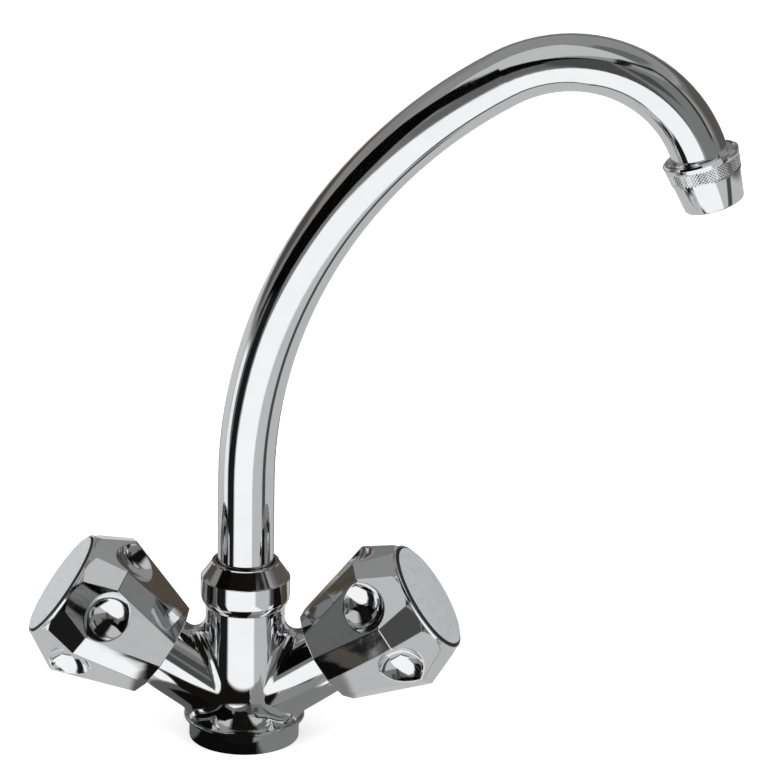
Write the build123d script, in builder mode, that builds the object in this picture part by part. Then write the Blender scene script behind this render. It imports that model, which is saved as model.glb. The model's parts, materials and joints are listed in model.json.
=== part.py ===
from build123d import *
import os
from math import cos, radians, sin, sqrt

# Single-hole mixer with a swivelling swan-neck spout and two faceted handles.
# Millimetres, +Z up, origin at the centre of the base underside, front towards -Y.
# Each arm has a frame of its own: z runs outwards along the arm, x points up.

# Fits and running clearances, all radial or axial gaps
running_gap = 0.06
seal_gap = 0.03
seat_gap = 0.05
thread_gap = 0.05
sleeve_gap = 0.4

# Base and column of the body
base_diameter = 35.5
lip_diameter = 39.0
lip_bottom = 6.6
lip_thickness = 1.3
lip_ledge = 0.8
lip_rounding = 0.4
column_shoulder = 0.55
flare_height = 9.2
column_top = 45.0
neck_wall = 1.6
neck_height = 8.0
seam_fillet = 4.0

# Arms of the body
arm_diameter = 23.6
arm_height = 10.0
arm_setback = 1.4
arm_lift = 34.9
arm_forward = 4.75
arm_length = 37.1
sides = {"left": -1, "right": 1}

# Waterways in the body
spigot_bore_depth = 18.5
mixing_bore_diameter = 16.0
mixing_floor = 22.0
inlet_reach = 10.0
inlet_thread_diameter = 9.0
inlet_thread_length = 10.0
inlet_diameter = 8.4
stud_thread_diameter = 6.8
stud_thread_length = 12.0
stud_offset = 9.0
valve_thread_diameter = 20.5
valve_thread_length = 14.0
chamber_diameter = 18.4
chamber_depth = 3.0
seat_outer_diameter = 11.6
seat_hole_diameter = 8.4
seat_rise = 0.8
port_diameter = 3.8
port_offset = 7.0
port_spread = 36.0

# Seal under the base
base_seal_inner = 27.4
base_seal_outer = 32.6
base_seal_thickness = 1.6

# Spout nut
nut_wall = 2.15
nut_foot_wall = 0.65
nut_gap = 0.2
nut_bowl_height = 4.3
nut_band_height = 9.5
nut_step = 0.2
nut_shoulder_rounding = 0.6
nut_height = 15.1
nut_lip_wall = 1.4
nut_lip_height = 0.5
nut_lip_rounding = 0.2
nut_cavity_height = 11.2

# Rings that carry the spout
bearing_thickness = 0.8
slip_ring_thickness = 1.4
flange_inset = 0.3
flange_thickness = 1.05

# Spout spigot
spigot_end_gap = 0.5
spigot_wall = 2.1
spigot_socket_wall = 1.4
spigot_sleeve_inset = 0.2
spigot_sleeve_height = 1.3
spigot_ring_positions = (3.4, 7.4)

# Rubber rings in their grooves
spout_ring_thickness = 2.0
spindle_ring_thickness = 1.1
groove_side_room = 0.35

# Spout tube
tube_diameter = 18.0
tube_wall = 1.0
tube_bottom = 46.5
bend_start = 88.0
large_bend_radius = 148.0
large_bend_angle = 62.0
small_bend_radius = 44.0
small_bend_angle = 99.0
spout_swing = 7.0
tube_socket_depth = 4.0

# Outlet fitting and aerator, measured along the outlet from the fitting's face
fitting_wall = 1.7
fitting_length = 5.2
fitting_chamfer = 0.4
aerator_wall = 1.4
aerator_taper = 2.5
aerator_length = 16.6
aerator_band_start = 0.6
aerator_band_end = 7.0
aerator_band_rise = 0.3
aerator_rim_chamfer = 0.5
aerator_washer_outer = 19.9
aerator_washer_inner = 15.2
aerator_washer_thickness = 1.3
insert_flange_thickness = 1.0
insert_diameter = 17.4
insert_wall = 0.9
insert_plate = 1.6
insert_length = 8.4
insert_hole_diameter = 1.3
insert_hole_circle = 10.4
insert_holes = 12
insert_slots = 6
insert_slot_width = 2.2
insert_slot_height = 2.4
screen_thickness = 0.35
screens = 2
aerator_mouth_diameter = 15.8

# Headwork, the valve that is screwed into each arm
gasket_thickness = 0.8
gasket_bore_gap = 0.15
gasket_rim = 0.2
headwork_end_gap = 0.5
headwork_flange_rim = 0.4
headwork_flange_thickness = 2.0
headwork_hex = 19.0
headwork_hex_height = 6.2
headwork_neck_diameter = 13.0
headwork_neck_height = 8.0
skirt_bore_diameter = 16.4
skirt_depth = 8.0
guide_hex = 12.0
guide_height = 8.5
thrust_bore_diameter = 11.2
thrust_depth = 2.2

# Spindle and its circlip
stem_diameter = 8.0
spindle_thread_diameter = 7.0
spindle_reach = 6.0
collar_diameter = 11.0
collar_thickness = 2.0
spindle_square = 6.4
spindle_square_length = 7.5
spindle_ring_positions = (1.3, 4.1)
circlip_thickness = 1.0
circlip_diameter = 12.4
circlip_groove_diameter = 6.8
circlip_opening = 3.0
screw_hole_depth = 10.0

# Valve carrier, its rubber washer and the washer's screw
carrier_travel = 5.0
carrier_height = 3.0
carrier_disc_diameter = 15.0
carrier_disc_thickness = 2.4
washer_diameter = 14.4
washer_thickness = 2.15
washer_screw_head = 5.6
washer_screw_head_height = 1.2
washer_screw_diameter = 3.0
washer_screw_length = 4.0

# Knob: a twelve-sided body with six lobes and a ball-shaped scoop between each two
knob_overlap = 3.7
knob_skirt_length = 26.5
knob_crown_height = 11.2
knob_end_diameter = 33.0
knob_girdle_diameter = 50.0
knob_lobe_edge = 7.5
knob_rim_wall = 0.75
knob_rim_height = 0.9
knob_rim_rounding = 0.3
lobe_count = 6
scoop_diameter = 18.8
scoop_offset = 27.3
scoop_below_girdle = 2.6
knob_bore_gap = 0.5
knob_web_start = 20.0
knob_web_thickness = 9.0
knob_recess_diameter = 28.0
bezel_gap = 0.65
bezel_depth = 1.0
knob_turns = {"left": 16.1, "right": 26.6}

# Knob screw and knob cap
knob_screw_diameter = 4.0
knob_screw_head = 7.6
knob_screw_head_height = 2.6
knob_screw_length = 8.0
knob_screw_slot = 1.0
knob_screw_slot_depth = 1.1
cap_diameter = 34.6
cap_edge_height = 1.6
cap_dome_height = 0.6
cap_skirt_length = 3.5
cap_skirt_wall = 0.9

# Sizes and places that follow from the sizes above
spigot_sleeve_diameter = tube_diameter + 2 * spigot_socket_wall
spigot_bore_diameter = spigot_sleeve_diameter + 2 * spigot_sleeve_inset
neck_diameter = spigot_bore_diameter + 2 * neck_wall
column_diameter = neck_diameter + 2 * column_shoulder
flange_diameter = neck_diameter - 2 * flange_inset
lip_top = lip_bottom + lip_thickness
neck_top = column_top + neck_height
nut_bottom = column_top + nut_gap
nut_top = nut_bottom + nut_height
spigot_bore_floor = neck_top - spigot_bore_depth
spigot_bottom = spigot_bore_floor + spigot_end_gap
spigot_diameter = spigot_bore_diameter - 2 * running_gap
flange_bottom = neck_top + bearing_thickness + seat_gap
flange_top = flange_bottom + flange_thickness
slip_ring_bottom = flange_top + seat_gap
nut_cavity_top = nut_bottom + nut_cavity_height
fitting_diameter = tube_diameter + 2 * fitting_wall
aerator_top_radius = fitting_diameter / 2 + aerator_wall
aerator_end_radius = aerator_top_radius - aerator_taper
valve_thread_start = arm_length - valve_thread_length
chamber_floor = valve_thread_start - chamber_depth
headwork_end = valve_thread_start + headwork_end_gap
gasket_inner = valve_thread_diameter + 2 * gasket_bore_gap
gasket_outer = arm_diameter - 2 * gasket_rim
headwork_flange_diameter = arm_diameter - 2 * headwork_flange_rim
headwork_flange = arm_length + gasket_thickness
headwork_hex_bottom = headwork_flange + headwork_flange_thickness
headwork_neck_bottom = headwork_hex_bottom + headwork_hex_height
headwork_top = headwork_neck_bottom + headwork_neck_height
guide_top = arm_length + guide_height
thrust_top = guide_top + thrust_depth
collar_bottom = thrust_top - seat_gap - collar_thickness
seat_top = chamber_floor + seat_rise
washer_bottom = seat_top + seat_gap
carrier_bottom = washer_bottom + washer_thickness
carrier_neck = carrier_bottom + carrier_disc_thickness
carrier_top = arm_length + carrier_height
spindle_end = arm_length - spindle_reach
stem_bore_diameter = stem_diameter + 2 * running_gap
knob_start = arm_length - knob_overlap
knob_girdle = knob_start + knob_skirt_length
knob_crown_top = knob_girdle + knob_crown_height
knob_top = knob_crown_top + knob_rim_height
knob_bore_diameter = arm_diameter + 2 * knob_bore_gap
knob_web_bottom = arm_length + knob_web_start
knob_web_top = knob_web_bottom + knob_web_thickness
square_top = knob_web_bottom + spindle_square_length
cap_bottom = knob_top - bezel_depth
cap_radius = cap_diameter / 2
bezel_radius = cap_radius + bezel_gap
rim_radius = bezel_radius + knob_rim_wall


def arm_frame(side):
    """Frame of the arm on side -1 or 1, with z outwards along the arm and x upwards."""
    lift = radians(arm_lift)
    forward = radians(arm_forward)
    outward = (side * cos(lift) * cos(forward), -cos(lift) * sin(forward), sin(lift))
    upward = (-side * sin(lift) * cos(forward), sin(lift) * sin(forward), cos(lift))
    return Plane(origin=(0, arm_setback, arm_height), x_dir=upward, z_dir=outward)


def tube_of(inner, outer, bottom, height):
    """Plain ring along Z between two diameters."""
    with BuildPart() as ring:
        with BuildSketch(Plane.XY.offset(bottom)):
            Circle(outer / 2)
            Circle(inner / 2, mode=Mode.SUBTRACT)
        extrude(amount=height)
    return ring.part


def disc(diameter, bottom, height):
    """Plain disc along Z."""
    with BuildPart() as plate:
        with BuildSketch(Plane.XY.offset(bottom)):
            Circle(diameter / 2)
        extrude(amount=height)
    return plate.part


def rubber_ring(groove_floor, bore, height):
    """Round-section rubber ring that fills the room between a groove floor and a bore."""
    section = (bore - groove_floor) / 4 - seal_gap / 2
    with BuildPart() as ring:
        with BuildSketch(Plane.XZ):
            with Locations(((groove_floor + bore) / 4, height)):
                Circle(section)
        revolve(axis=Axis.Z)
    return ring.part


def save(part, name):
    """Label one finished piece and write it to its own file."""
    part.label = name
    export_step(part, f"parts/{name}.step")


def save_on_arm(part, side_name, piece_name, turn=0.0):
    """Place a copy of a piece on one arm, turned about the arm, and write it."""
    frame = arm_frame(sides[side_name])
    placed = part.moved(frame.location * Location((0, 0, 0), (0, 0, turn)))
    save(placed, f"{side_name}_{piece_name}")


os.makedirs("parts", exist_ok=True)

# Body: base with its lip, flared column, threaded neck and two arms in one casting
base_radius = base_diameter / 2
lip_radius = lip_diameter / 2
column_radius = column_diameter / 2
with BuildPart() as body:
    with BuildSketch(Plane.XZ):
        with BuildLine():
            Polyline((0, 0), (base_radius, 0), (base_radius, lip_bottom), (lip_radius, lip_bottom),
                     (lip_radius, lip_top), (lip_radius - lip_ledge, lip_top))
            TangentArc((column_radius, lip_top + flare_height), (lip_radius - lip_ledge, lip_top),
                       tangent=(0, -1))
            Polyline((column_radius, lip_top + flare_height), (column_radius, column_top),
                     (neck_diameter / 2, column_top), (neck_diameter / 2, neck_top), (0, neck_top), (0, 0))
        make_face()
    revolve(axis=Axis.Z)
    fillet(body.edges().filter_by(GeomType.CIRCLE).sort_by(SortBy.RADIUS)[-2:], lip_rounding)
    for side in sides.values():
        with BuildSketch(arm_frame(side)):
            Circle(arm_diameter / 2)
        extrude(amount=arm_length)
    seams = body.edges().filter_by(GeomType.BSPLINE)
    fillet(seams, seam_fillet)

    # Mixing chamber and the bore that the spout turns in
    with BuildSketch(Plane.XY.offset(mixing_floor)):
        Circle(mixing_bore_diameter / 2)
    extrude(amount=neck_top - mixing_floor, mode=Mode.SUBTRACT)
    with BuildSketch(Plane.XY.offset(spigot_bore_floor)):
        Circle(spigot_bore_diameter / 2)
    extrude(amount=spigot_bore_depth, mode=Mode.SUBTRACT)

    # Valve chamber, seat, inlet and outlet ports of each arm
    for side in sides.values():
        frame = arm_frame(side)
        inlet = frame.origin + frame.z_dir * inlet_reach
        with BuildSketch(frame.offset(valve_thread_start)):
            Circle(valve_thread_diameter / 2)
        extrude(amount=arm_length - valve_thread_start, mode=Mode.SUBTRACT)
        with BuildSketch(frame.offset(seat_top)):
            Circle(chamber_diameter / 2)
        extrude(amount=valve_thread_start - seat_top, mode=Mode.SUBTRACT)
        with BuildSketch(frame.offset(chamber_floor)):
            Circle(chamber_diameter / 2)
            Circle(seat_outer_diameter / 2, mode=Mode.SUBTRACT)
        extrude(amount=seat_rise, mode=Mode.SUBTRACT)
        with BuildSketch(frame.offset(inlet_reach)):
            Circle(seat_hole_diameter / 2)
        extrude(amount=seat_top - inlet_reach, mode=Mode.SUBTRACT)
        with BuildSketch(frame.offset(inlet_reach)):
            with PolarLocations(port_offset, 3, start_angle=-port_spread, angular_range=3 * port_spread):
                Circle(port_diameter / 2)
        extrude(amount=chamber_floor - inlet_reach, mode=Mode.SUBTRACT)
        with BuildSketch(Plane.XY):
            with Locations((inlet.X, inlet.Y)):
                Circle(inlet_diameter / 2)
        extrude(amount=inlet.Z, mode=Mode.SUBTRACT)
        with BuildSketch(Plane.XY):
            with Locations((inlet.X, inlet.Y)):
                Circle(inlet_thread_diameter / 2)
        extrude(amount=inlet_thread_length, mode=Mode.SUBTRACT)

    # Hole for the fixing stud and groove for the seal, both in the underside
    with BuildSketch(Plane.XY):
        with Locations((0, stud_offset)):
            Circle(stud_thread_diameter / 2)
    extrude(amount=stud_thread_length, mode=Mode.SUBTRACT)
    with BuildSketch(Plane.XY):
        Circle(base_seal_outer / 2 + seat_gap)
        Circle(base_seal_inner / 2 - seat_gap, mode=Mode.SUBTRACT)
    extrude(amount=base_seal_thickness + seat_gap, mode=Mode.SUBTRACT)
save(body.part, "mixer_body")

save(tube_of(base_seal_inner, base_seal_outer, 0, base_seal_thickness), "base_seal")

# Nut that holds the spout: bowl-shaped foot, plain band, conical shoulder and a small lip round the tube
nut_bore_radius = neck_diameter / 2 + thread_gap
nut_radius = nut_bore_radius + nut_wall
shoulder_radius = nut_radius - nut_step
nut_foot_radius = nut_bore_radius + nut_foot_wall
bowl_top = nut_bottom + nut_bowl_height
band_top = nut_bottom + nut_band_height
shoulder_top = nut_top - nut_lip_height
tube_hole_radius = tube_diameter / 2 + sleeve_gap
nut_lip_radius = tube_hole_radius + nut_lip_wall
with BuildPart() as nut:
    with BuildSketch(Plane.XZ):
        with BuildLine():
            TangentArc((nut_radius, bowl_top), (nut_foot_radius, nut_bottom), tangent=(0, -1))
            Polyline((nut_radius, bowl_top), (nut_radius, band_top), (shoulder_radius, band_top),
                     (shoulder_radius, band_top + nut_step), (nut_lip_radius, shoulder_top),
                     (nut_lip_radius, nut_top), (tube_hole_radius, nut_top),
                     (tube_hole_radius, nut_cavity_top), (nut_bore_radius, nut_cavity_top),
                     (nut_bore_radius, nut_bottom), (nut_foot_radius, nut_bottom))
        make_face()
    revolve(axis=Axis.Z)
    fillet(nut.edges().filter_by_position(Axis.Z, band_top + nut_step, band_top + nut_step),
           nut_shoulder_rounding)
    fillet(nut.edges().group_by(Axis.Z)[-1], nut_lip_rounding)
save(nut.part, "spout_nut")

save(tube_of(spigot_bore_diameter + 2 * seat_gap, flange_diameter, neck_top, bearing_thickness),
     "spout_bearing_ring")
save(tube_of(spigot_sleeve_diameter + 2 * running_gap, neck_diameter - 2 * running_gap, slip_ring_bottom,
             slip_ring_thickness), "spout_slip_ring")

# Spigot soldered to the foot of the spout, with two ring grooves and a socket for the tube
spout_groove_floor = spigot_diameter - 2 * (spout_ring_thickness - running_gap)
spout_groove_width = spout_ring_thickness + 2 * groove_side_room
spout_ring_heights = [spigot_bottom + position for position in spigot_ring_positions]
spigot_inner_diameter = spout_groove_floor - 2 * spigot_wall
with BuildPart() as spigot:
    with BuildSketch(Plane.XY.offset(spigot_bottom)):
        Circle(spigot_diameter / 2)
    extrude(amount=flange_bottom - spigot_bottom)
    with BuildSketch(Plane.XY.offset(flange_bottom)):
        Circle(flange_diameter / 2)
    extrude(amount=flange_thickness)
    with BuildSketch(Plane.XY.offset(flange_top)):
        Circle(spigot_sleeve_diameter / 2)
    extrude(amount=spigot_sleeve_height)
    with BuildSketch(Plane.XY.offset(spigot_bottom)):
        Circle(spigot_inner_diameter / 2)
    extrude(amount=tube_bottom - spigot_bottom, mode=Mode.SUBTRACT)
    with BuildSketch(Plane.XY.offset(tube_bottom)):
        Circle(tube_diameter / 2)
    extrude(amount=flange_top + spigot_sleeve_height - tube_bottom, mode=Mode.SUBTRACT)
    for height in spout_ring_heights:
        with BuildSketch(Plane.XY.offset(height)):
            Circle(spigot_diameter / 2)
            Circle(spout_groove_floor / 2, mode=Mode.SUBTRACT)
        extrude(amount=spout_groove_width / 2, both=True, mode=Mode.SUBTRACT)
save(spigot.part, "spout_spigot")

spout_rings = [rubber_ring(spout_groove_floor, spigot_bore_diameter, height) for height in spout_ring_heights]
save(Compound(children=spout_rings), "spout_o_rings")

# Spout tube: straight foot, a wide bend that runs into a tight one, and a short straight end
swing = radians(spout_swing)
spout_plane = Plane(origin=(0, 0, 0), x_dir=(cos(swing), sin(swing), 0), z_dir=(sin(swing), -cos(swing), 0))
with BuildPart() as tube:
    with BuildLine(spout_plane) as route:
        foot = Line((0, tube_bottom), (0, bend_start))
        wide = JernArc(start=foot @ 1, tangent=foot % 1, radius=large_bend_radius, arc_size=-large_bend_angle)
        tight = JernArc(start=wide @ 1, tangent=wide % 1, radius=small_bend_radius,
                        arc_size=-small_bend_angle)
        Line(tight @ 1, (tight @ 1) + (tight % 1) * tube_socket_depth)
    with BuildSketch(Plane.XY.offset(tube_bottom)):
        Circle(tube_diameter / 2)
        Circle(tube_diameter / 2 - tube_wall, mode=Mode.SUBTRACT)
    sweep(path=route.wire())
save(tube.part, "spout_tube")

# Outlet frame: z along the flow of water, origin on the upper face of the fitting
outlet = Plane(origin=tight @ 1, x_dir=spout_plane.z_dir, z_dir=tight % 1)


def save_on_outlet(part, name):
    """Place a piece on the outlet of the spout and write it."""
    save(part.moved(outlet.location), name)


# Ring with the outside thread for the aerator, soldered round the end of the tube
with BuildPart() as fitting:
    with BuildSketch():
        Circle(fitting_diameter / 2)
    extrude(amount=fitting_length)
    chamfer(fitting.edges().group_by(Axis.Z)[0], fitting_chamfer)
    with BuildSketch():
        Circle(tube_diameter / 2)
    extrude(amount=tube_socket_depth, mode=Mode.SUBTRACT)
    with BuildSketch():
        Circle(tube_diameter / 2 - tube_wall)
    extrude(amount=fitting_length, mode=Mode.SUBTRACT)
save_on_outlet(fitting.part, "outlet_fitting")

# Aerator housing: gripping band round the thread, then a nozzle that narrows to its mouth
washer_seat = fitting_length + seat_gap
insert_top = washer_seat + aerator_washer_thickness
insert_seat = insert_top + insert_flange_thickness
insert_end = insert_top + insert_length
screens_end = insert_end + screens * screen_thickness
aerator_thread_radius = fitting_diameter / 2 + thread_gap
insert_seat_radius = aerator_washer_outer / 2 + seat_gap
insert_bore_radius = insert_diameter / 2 + seat_gap
aerator_slope = (aerator_top_radius - aerator_end_radius) / aerator_length


def aerator_radius(along):
    """Radius of the nozzle's cone at a distance from the fitting's face."""
    return aerator_top_radius - aerator_slope * along


with BuildPart() as housing:
    with BuildSketch(Plane.XZ):
        with BuildLine():
            Polyline((aerator_thread_radius + fitting_chamfer, 0),
                     (aerator_top_radius - aerator_rim_chamfer, 0),
                     (aerator_radius(aerator_band_start), aerator_band_start),
                     (aerator_radius(aerator_band_start) + aerator_band_rise, aerator_band_start),
                     (aerator_radius(aerator_band_end) + aerator_band_rise, aerator_band_end),
                     (aerator_radius(aerator_band_end), aerator_band_end),
                     (aerator_end_radius, aerator_length),
                     (aerator_mouth_diameter / 2, aerator_length),
                     (aerator_mouth_diameter / 2, screens_end), (insert_bore_radius, screens_end),
                     (insert_bore_radius, insert_seat), (insert_seat_radius, insert_seat),
                     (insert_seat_radius, washer_seat), (aerator_thread_radius, washer_seat),
                     (aerator_thread_radius, fitting_chamfer),
                     (aerator_thread_radius + fitting_chamfer, 0))
        make_face()
    revolve(axis=Axis.Z)
save_on_outlet(housing.part, "aerator_housing")
save_on_outlet(tube_of(aerator_washer_inner, aerator_washer_outer, washer_seat, aerator_washer_thickness),
               "aerator_washer")

# Aerator insert: drilled plate on top of a cage with air slots
with BuildPart() as insert:
    with BuildSketch(Plane.XY.offset(insert_top)):
        Circle(aerator_washer_outer / 2)
    extrude(amount=insert_flange_thickness)
    with BuildSketch(Plane.XY.offset(insert_top)):
        Circle(insert_diameter / 2)
    extrude(amount=insert_length)
    with BuildSketch(Plane.XY.offset(insert_top + insert_plate)):
        Circle(insert_diameter / 2 - insert_wall)
    extrude(amount=insert_length - insert_plate, mode=Mode.SUBTRACT)
    with BuildSketch(Plane.XY.offset(insert_top)):
        with PolarLocations(insert_hole_circle / 2, insert_holes):
            Circle(insert_hole_diameter / 2)
    extrude(amount=insert_plate, mode=Mode.SUBTRACT)
    with BuildSketch(Plane.XY.offset(insert_seat + insert_slot_height)):
        with PolarLocations((insert_diameter - insert_wall) / 2, insert_slots):
            Rectangle(2 * insert_wall, insert_slot_width)
    extrude(amount=insert_slot_height, mode=Mode.SUBTRACT)
save_on_outlet(insert.part, "aerator_insert")

screen_discs = [disc(insert_diameter, insert_end + index * screen_thickness, screen_thickness)
                for index in range(screens)]
save_on_outlet(Compound(children=screen_discs), "aerator_screens")

# Headwork: threaded skirt, flange, hexagon and neck round a hexagonal guide for the carrier
with BuildPart() as headwork:
    with BuildSketch(Plane.XY.offset(headwork_end)):
        Circle(valve_thread_diameter / 2 - thread_gap)
    extrude(amount=headwork_flange - headwork_end)
    with BuildSketch(Plane.XY.offset(headwork_flange)):
        Circle(headwork_flange_diameter / 2)
    extrude(amount=headwork_flange_thickness)
    with BuildSketch(Plane.XY.offset(headwork_hex_bottom)):
        RegularPolygon(headwork_hex / 2, 6, major_radius=False)
    extrude(amount=headwork_hex_height)
    with BuildSketch(Plane.XY.offset(headwork_neck_bottom)):
        Circle(headwork_neck_diameter / 2)
    extrude(amount=headwork_neck_height)
    with BuildSketch(Plane.XY.offset(headwork_end)):
        Circle(skirt_bore_diameter / 2)
    extrude(amount=skirt_depth, mode=Mode.SUBTRACT)
    with BuildSketch(Plane.XY.offset(headwork_end)):
        RegularPolygon(guide_hex / 2, 6, major_radius=False)
    extrude(amount=guide_top - headwork_end, mode=Mode.SUBTRACT)
    with BuildSketch(Plane.XY.offset(guide_top)):
        Circle(thrust_bore_diameter / 2)
    extrude(amount=thrust_depth, mode=Mode.SUBTRACT)
    with BuildSketch(Plane.XY.offset(thrust_top)):
        Circle(stem_bore_diameter / 2)
    extrude(amount=headwork_top - thrust_top, mode=Mode.SUBTRACT)

gasket = tube_of(gasket_inner, gasket_outer, arm_length, gasket_thickness)

# Spindle: thread, thrust collar, round stem with two ring grooves and a rounded square end
spindle_groove_floor = stem_diameter - 2 * (spindle_ring_thickness - running_gap)
spindle_groove_width = spindle_ring_thickness + groove_side_room
spindle_ring_heights = [thrust_top + position for position in spindle_ring_positions]
circlip_bottom = headwork_top + seat_gap
with BuildPart() as spindle:
    with BuildSketch(Plane.XY.offset(spindle_end)):
        Circle(spindle_thread_diameter / 2)
    extrude(amount=collar_bottom - spindle_end)
    with BuildSketch(Plane.XY.offset(collar_bottom)):
        Circle(collar_diameter / 2)
    extrude(amount=collar_thickness)
    with BuildSketch(Plane.XY.offset(collar_bottom)):
        Circle(stem_diameter / 2)
    extrude(amount=knob_web_bottom - collar_bottom)
    with BuildSketch(Plane.XY.offset(knob_web_bottom)):
        Circle(stem_diameter / 2)
        Rectangle(spindle_square, spindle_square, mode=Mode.INTERSECT)
    extrude(amount=spindle_square_length)
    for height in spindle_ring_heights:
        with BuildSketch(Plane.XY.offset(height)):
            Circle(stem_diameter / 2)
            Circle(spindle_groove_floor / 2, mode=Mode.SUBTRACT)
        extrude(amount=spindle_groove_width / 2, both=True, mode=Mode.SUBTRACT)
    with BuildSketch(Plane.XY.offset(circlip_bottom)):
        Circle(stem_diameter / 2)
        Circle(circlip_groove_diameter / 2, mode=Mode.SUBTRACT)
    extrude(amount=circlip_thickness, mode=Mode.SUBTRACT)
    with BuildSketch(Plane.XY.offset(square_top)):
        Circle(knob_screw_diameter / 2)
    extrude(amount=-screw_hole_depth, mode=Mode.SUBTRACT)

spindle_rings = Compound(children=[
    rubber_ring(spindle_groove_floor, stem_bore_diameter, height) for height in spindle_ring_heights])

with BuildPart() as circlip:
    with BuildSketch(Plane.XY.offset(circlip_bottom)):
        Circle(circlip_diameter / 2)
        Circle(circlip_groove_diameter / 2, mode=Mode.SUBTRACT)
        with Locations((circlip_diameter / 2, 0)):
            Rectangle(circlip_diameter, circlip_opening, mode=Mode.SUBTRACT)
    extrude(amount=circlip_thickness)

# Carrier: disc that holds the washer, and a hexagon with the thread for the spindle
carrier_bore_bottom = spindle_end - carrier_travel - seat_gap
with BuildPart() as carrier:
    with BuildSketch(Plane.XY.offset(carrier_bottom)):
        Circle(carrier_disc_diameter / 2)
    extrude(amount=carrier_disc_thickness)
    with BuildSketch(Plane.XY.offset(carrier_neck)):
        RegularPolygon(guide_hex / 2 - running_gap, 6, major_radius=False)
    extrude(amount=carrier_top - carrier_neck)
    with BuildSketch(Plane.XY.offset(carrier_bore_bottom)):
        Circle(spindle_thread_diameter / 2 + running_gap)
    extrude(amount=carrier_top - carrier_bore_bottom, mode=Mode.SUBTRACT)
    with BuildSketch(Plane.XY.offset(carrier_bottom)):
        Circle(washer_screw_diameter / 2)
    extrude(amount=washer_screw_length - washer_thickness, mode=Mode.SUBTRACT)

seat_washer = tube_of(washer_screw_diameter, washer_diameter, washer_bottom, washer_thickness)

with BuildPart() as washer_screw:
    with BuildSketch(Plane.XY.offset(washer_bottom)):
        Circle(washer_screw_head / 2)
    extrude(amount=-washer_screw_head_height)
    with BuildSketch(Plane.XY.offset(washer_bottom)):
        Circle(washer_screw_diameter / 2)
    extrude(amount=washer_screw_length)


def twelve_corners(radius, lobe_edge):
    """Corners of a twelve-sided outline whose edges are in turn lobe edges and wider ones."""
    half_lobe = lobe_edge / 2
    along = sqrt(radius ** 2 - half_lobe ** 2)
    corners = []
    for lobe in range(lobe_count):
        turn = radians(360 / lobe_count * lobe)
        for across in (-half_lobe, half_lobe):
            corners.append((along * cos(turn) - across * sin(turn), along * sin(turn) + across * cos(turn)))
    return corners


def even_edge(radius):
    """Edge of a regular twelve-sided outline with its corners on a circle."""
    return 2 * radius * sin(radians(180 / (2 * lobe_count)))


# Knob: facets between three outlines, a turned rim, six scoops and a hollow for the headwork
knob_crown_radius = rim_radius / cos(radians(180 / (2 * lobe_count)))
knob_end_radius = knob_end_diameter / 2
scoop_height = knob_girdle - scoop_below_girdle
with BuildPart() as knob:
    with BuildSketch(Plane.XY.offset(knob_start)):
        Polygon(*twelve_corners(knob_end_radius, even_edge(knob_end_radius)), align=None)
    with BuildSketch(Plane.XY.offset(knob_girdle)):
        Polygon(*twelve_corners(knob_girdle_diameter / 2, knob_lobe_edge), align=None)
    loft(ruled=True)
    with BuildSketch(Plane.XY.offset(knob_girdle)):
        Polygon(*twelve_corners(knob_girdle_diameter / 2, knob_lobe_edge), align=None)
    with BuildSketch(Plane.XY.offset(knob_crown_top)):
        Polygon(*twelve_corners(knob_crown_radius, even_edge(knob_crown_radius)), align=None)
    loft(ruled=True)
    with BuildSketch(Plane.XZ):
        with BuildLine():
            Polyline((0, knob_start), (knob_girdle_diameter, knob_start),
                     (knob_girdle_diameter, knob_crown_top - knob_girdle_diameter + rim_radius),
                     (rim_radius, knob_crown_top), (0, knob_crown_top), (0, knob_start))
        make_face()
    revolve(axis=Axis.Z, mode=Mode.INTERSECT)
    with BuildSketch(Plane.XY.offset(knob_web_top)):
        Circle(rim_radius)
    extrude(amount=knob_top - knob_web_top)
    fillet(knob.edges().group_by(Axis.Z)[-1], knob_rim_rounding)
    with PolarLocations(scoop_offset, lobe_count, start_angle=180 / lobe_count):
        with Locations((0, 0, scoop_height)):
            Sphere(scoop_diameter / 2, mode=Mode.SUBTRACT)
    with BuildSketch(Plane.XY.offset(knob_start)):
        Circle(knob_bore_diameter / 2)
    extrude(amount=knob_web_bottom - knob_start, mode=Mode.SUBTRACT)
    with BuildSketch(Plane.XY.offset(knob_web_top)):
        Circle(knob_recess_diameter / 2)
    extrude(amount=knob_top - knob_web_top, mode=Mode.SUBTRACT)
    with BuildSketch(Plane.XY.offset(cap_bottom)):
        Circle(bezel_radius)
    extrude(amount=bezel_depth, mode=Mode.SUBTRACT)
    with BuildSketch(Plane.XY.offset(knob_web_bottom)):
        Circle(stem_diameter / 2 + seat_gap)
        Rectangle(spindle_square + 2 * seat_gap, spindle_square + 2 * seat_gap, mode=Mode.INTERSECT)
    extrude(amount=spindle_square_length + seat_gap, mode=Mode.SUBTRACT)
    with BuildSketch(Plane.XY.offset(knob_web_bottom)):
        Circle(knob_screw_diameter / 2 + seat_gap)
    extrude(amount=knob_web_top - knob_web_bottom, mode=Mode.SUBTRACT)

with BuildPart() as knob_screw:
    with BuildSketch(Plane.XY.offset(knob_web_top)):
        Circle(knob_screw_head / 2)
    extrude(amount=knob_screw_head_height)
    with BuildSketch(Plane.XY.offset(knob_web_top)):
        Circle(knob_screw_diameter / 2)
    extrude(amount=-knob_screw_length)
    with BuildSketch(Plane.XY.offset(knob_web_top + knob_screw_head_height)):
        Rectangle(knob_screw_head, knob_screw_slot)
    extrude(amount=-knob_screw_slot_depth, mode=Mode.SUBTRACT)

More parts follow.
